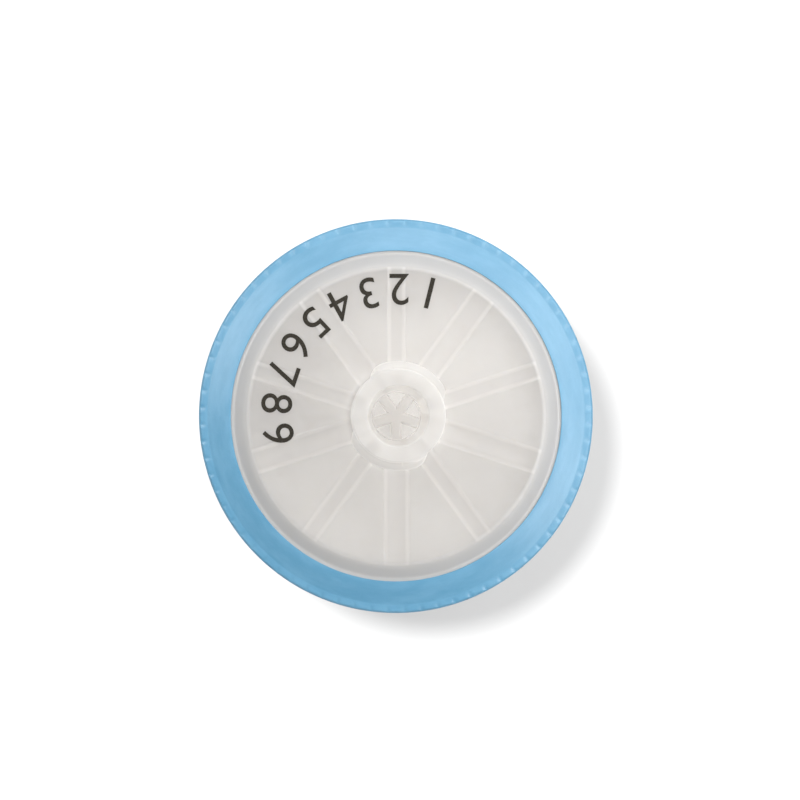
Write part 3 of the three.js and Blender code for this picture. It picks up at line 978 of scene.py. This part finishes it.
# %% [markdown]
# ## The membrane
# A PTFE membrane is a felt of fine fibres, matt and very white. A disc of real fibres would be
# far too heavy, and under the milky plates none could be told apart. The frame's own disc has the
# right shape, so it stays and only gets its finish, with fine noise for the fibres.

# %% The membrane's felt
FELT_GREY = (0.76, 0.745, 0.725, 1)
FELT_WHITE = (0.83, 0.815, 0.795, 1)
FIBRE_SCALE = 14.0  # of the noise, per millimetre
FIBRE_RELIEF = 0.02  # millimetres


def felt():
    """Matt white with fine fibres."""
    finish = Finish("ptfe_felt", Roughness=0.85)
    fibre = finish.place.noise(FIBRE_SCALE, detail=6.0, roughness=0.7)
    finish.feed(Base_Color=fibre.rise(0.3, 0.7).mix(FELT_GREY, FELT_WHITE))
    finish.bump(fibre, FIBRE_RELIEF)
    return finish.material


membrane_felt = felt()
for place in frame["nodes"]["membrane"].material_slots:
    place.material = membrane_felt
print("the membrane wears", membrane_felt.name)

# %% [markdown]
# ## The printed scale
# The plate carries a line of dark print along its edge. Here it is a plain row of numbers, as on
# a dial, pad-printed in one pass: a little off centre, and only a few hundredths thick. A pattern
# in the plate's finish could draw them too, but digits made as thin bodies keep a crisp edge.
# Text is a curve, so it is made a mesh first and put in place afterwards.

# %% Numbers round the plate
DIGITS = "123456789"
DIGIT_HEIGHT = 2.35
BASELINE = 10.45  # radius
PRINT_OFFSET = Vector((0.25, 0.25, 0))
FIRST_DIGIT, LAST_DIGIT = 76, 190  # degrees
INK_THICKNESS = 0.02
OUTLINE_STEPS = 6
digit_step = (LAST_DIGIT - FIRST_DIGIT) / (len(DIGITS) - 1)
print(len(DIGITS), "digits, one every", digit_step, "degrees")


def digit(character):
    """A flat character as a bmesh, its foot on the X axis, centred on the Y axis."""
    text = bpy.data.curves.new("digit", "FONT")
    text.body = character
    text.resolution_u = OUTLINE_STEPS
    holder = bpy.data.objects.new("digit", text)
    bpy.context.scene.collection.objects.link(holder)
    solved = holder.evaluated_get(bpy.context.evaluated_depsgraph_get())
    bm = bmesh.new()
    bm.from_mesh(solved.to_mesh())
    bpy.data.curves.remove(text)
    bmesh.ops.remove_doubles(bm, verts=bm.verts, dist=SAME_POINT)
    xs = [vert.co.x for vert in bm.verts]
    ys = [vert.co.y for vert in bm.verts]
    bmesh.ops.translate(bm, verts=bm.verts, vec=(-(min(xs) + max(xs)) / 2, -min(ys), 0))
    size = DIGIT_HEIGHT / (max(ys) - min(ys))
    bmesh.ops.scale(bm, vec=(size, size, 1), verts=bm.verts)
    return bm


# %% Put the numbers on the arc
def printed_scale():
    """All digits in one mesh, their heads towards the hub."""
    sheet = bmesh.new()
    for k, character in enumerate(DIGITS):
        degrees = FIRST_DIGIT + k * digit_step
        bm = digit(character)
        pulled_out(bm, bm.faces[:], (0, 0, 2 * INK_THICKNESS))
        out = Vector((math.cos(math.radians(degrees)), math.sin(math.radians(degrees)), 0))
        spot = PRINT_OFFSET + out * BASELINE + Vector((0, 0, INLET_FACE - INK_THICKNESS))
        place = Matrix.Translation(spot) @ Matrix.Rotation(math.radians(degrees + 90), 4, "Z")
        bmesh.ops.transform(bm, matrix=place, verts=bm.verts)
        mesh = bpy.data.meshes.new("digit")
        bm.to_mesh(mesh)
        bm.free()
        sheet.from_mesh(mesh)
        bpy.data.meshes.remove(mesh)
    bmesh.ops.recalc_face_normals(sheet, faces=sheet.faces)
    return sheet


# %% The ink
INK_THICK = (0.014, 0.011, 0.007, 1)
INK_THIN = (0.042, 0.036, 0.025, 1)
INK_MATT, WEAR_MATT = 0.4, 0.3  # roughness, and what the wear adds to it


def ink():
    """Warm black, a little thinner in places."""
    finish = Finish("black_ink", IOR=1.3)
    worn = finish.place.noise(9.0, detail=4.0, roughness=0.65)
    finish.feed(
        Base_Color=worn.rise(0.35, 0.8).mix(INK_THICK, INK_THIN),
        Roughness=INK_MATT + worn * WEAR_MATT,
    )
    return finish.material


piece("printed_numbers", printed_scale(), ink())

# %% [markdown]
# ## Floor and light
# A plain white sheet with soft light: four soft boxes stand round three sides of the part, half
# way up, so that every wall is modelled and one side falls off. A lamp of its own throws the long
# soft shadow on the sheet, and light linking keeps it off the part. The sheet glows a little for
# the camera and in reflections, so that it comes out white with the shadow still on it. Far from
# the lamps it glows more, which hides the horizon. Seen from below it is clear, as the part is
# also looked at from there.

# %% Which rays see the background
BACKGROUND_RAYS = ("Is Camera Ray", "Is Glossy Ray", "Is Transmission Ray")


def sees_background(tree):
    """1 for the camera's rays and for those that a surface reflects or lets through."""
    rays = tree.nodes.new("ShaderNodeLightPath").outputs
    return highest(Wire(tree, rays[kind]) for kind in BACKGROUND_RAYS)


# %% Finish of the floor
FLOOR_GLOW = 0.48  # near the part
FLOOR_WHITE = (0.20, 0.20, 0.20, 1)  # as lit by the lamps; the glow does the rest
FLOOR_FADE = (0.08, 0.40)  # metres from the part: from here the glow grows, to here it is white


def floor_finish():
    """White paper that glows a little where it is seen, and is clear from below."""
    material = bpy.data.materials.new("paper")
    material.use_nodes = True
    tree = material.node_tree
    surface = tree.nodes["Principled BSDF"]
    surface.inputs["Base Color"].default_value = FLOOR_WHITE
    surface.inputs["Roughness"].default_value = 0.9
    surface.inputs["Specular IOR Level"].default_value = 0.0
    surface.inputs["Emission Color"].default_value = (1, 1, 1, 1)
    metres = Wire(tree, tree.nodes.new("ShaderNodeTexCoord").outputs["Object"])
    from_part = metres.node("ShaderNodeVectorMath", {0: metres}, output=1, operation="LENGTH")
    glow = FLOOR_GLOW + from_part.rise(*FLOOR_FADE) * (1 - FLOOR_GLOW)
    glow = sees_background(tree) * glow
    tree.links.new(glow.socket, surface.inputs["Emission Strength"])
    below = Wire(tree, tree.nodes.new("ShaderNodeNewGeometry").outputs["Backfacing"])
    clear = Wire(tree, tree.nodes.new("ShaderNodeBsdfTransparent").outputs["BSDF"])
    sockets = {0: below, 1: Wire(tree, surface.outputs["BSDF"]), 2: clear}
    sheet = below.node("ShaderNodeMixShader", sockets)
    tree.links.new(sheet.socket, tree.nodes["Material Output"].inputs["Surface"])
    return material


# %% Floor
FLOOR_HALF = 2000  # millimetres
floor_bm = bmesh.new()
bmesh.ops.create_grid(floor_bm, x_segments=1, y_segments=1, size=FLOOR_HALF)
bmesh.ops.scale(floor_bm, vec=(MM, MM, MM), verts=floor_bm.verts)
floor = as_object("floor", floor_bm)
floor.data.materials.append(floor_finish())
print(f"floor {2 * FLOOR_HALF * MM:.0f} m across")

# %% Lamps
HEART = Vector((0, 0, RING_MIDDLE * MM))


def seen_from(azimuth, elevation, distance):
    """A point at a direction and distance from the middle of the part."""
    a, e = math.radians(azimuth), math.radians(elevation)
    level = distance * math.cos(e)
    return HEART + Vector((level * math.cos(a), level * math.sin(a), distance * math.sin(e)))


def soft_lamp(name, azimuth, elevation, distance, width, share):
    """A round soft box. A share of 1 would light a white card that faces it to plain white."""
    lamp = bpy.data.lights.new(name, "AREA")
    lamp.shape = "DISK"
    lamp.size = width
    lamp.energy = share * math.pi**2 * distance**2
    holder = bpy.data.objects.new(name, lamp)
    bpy.context.scene.collection.objects.link(holder)
    holder.location = seen_from(azimuth, elevation, distance)
    holder.rotation_euler = (HEART - holder.location).to_track_quat("-Z", "Y").to_euler()
    return holder


# %% Four soft boxes and the shadow's lamp
SIDE_BOXES = ((-20, 0.44), (30, 0.40), (85, 0.31), (150, 0.38))  # azimuth, share
SIDE_ELEVATION, SIDE_DISTANCE, SIDE_WIDTH = 50, 0.28, 0.155  # degrees, and metres
for k, (azimuth, share) in enumerate(SIDE_BOXES):
    name = f"side_box_{k + 1}"
    soft_lamp(name, azimuth, SIDE_ELEVATION, SIDE_DISTANCE, SIDE_WIDTH, share)
shadow_lamp = soft_lamp(
    "shadow_lamp", azimuth=142, elevation=71.3, distance=0.9, width=0.18, share=2.6
)
print(len(SIDE_BOXES), "side boxes at", SIDE_ELEVATION, "degrees")

# %% The shadow lamp lights the floor alone
floor_only = bpy.data.collections.new("floor_only")
floor_only.objects.link(floor)
shadow_lamp.light_linking.receiver_collection = floor_only

# %% [markdown]
# The room round the part is white where it is seen, and almost dark as a light, so that only the
# lamps model the part.

# %% The room
ROOM_LIGHT = 0.06
world = bpy.data.worlds.new("room")
bpy.context.scene.world = world
world.use_nodes = True
sky = world.node_tree.nodes["Background"]
strength = sees_background(world.node_tree) * (1 - ROOM_LIGHT) + ROOM_LIGHT
world.node_tree.links.new(strength.socket, sky.inputs["Strength"])
sky.inputs["Color"].default_value = (1, 1, 1, 1)
print("as a light, the room gives", ROOM_LIGHT, "of white")

# %% [markdown]
# ## Camera
# The camera looks almost straight down the axis from 17 centimetres, close enough for the hub to
# lean a little away from the middle of the picture.

# %% Camera
AIM = Vector((0.31, 1.22, RING_MIDDLE)) * MM
STAND = AIM + Vector((-3.0, -1.4, 170)) * MM
PICTURE_WIDTH = 61.1 * MM  # what the picture spans at the ring

camera = bpy.data.cameras.new("camera")
camera.angle = 2 * math.atan(PICTURE_WIDTH / 2 / (STAND - AIM).length)
camera.clip_start = 0.005
viewer = bpy.data.objects.new("camera", camera)
bpy.context.scene.collection.objects.link(viewer)
back = (STAND - AIM).normalized()
right = Vector((0, 1, 0)).cross(back).normalized()
turn = Matrix((right, back.cross(right), back)).transposed().to_4x4()
viewer.matrix_world = Matrix.Translation(STAND) @ turn
bpy.context.scene.camera = viewer
bpy.context.scene.view_settings.view_transform = "Standard"
print(f"the camera spans {math.degrees(camera.angle):.1f} degrees")

# %% [markdown]
# ## The last step
# The scene is brought up to date once more.

# %% Bring the scene up to date
bpy.context.view_layer.update()
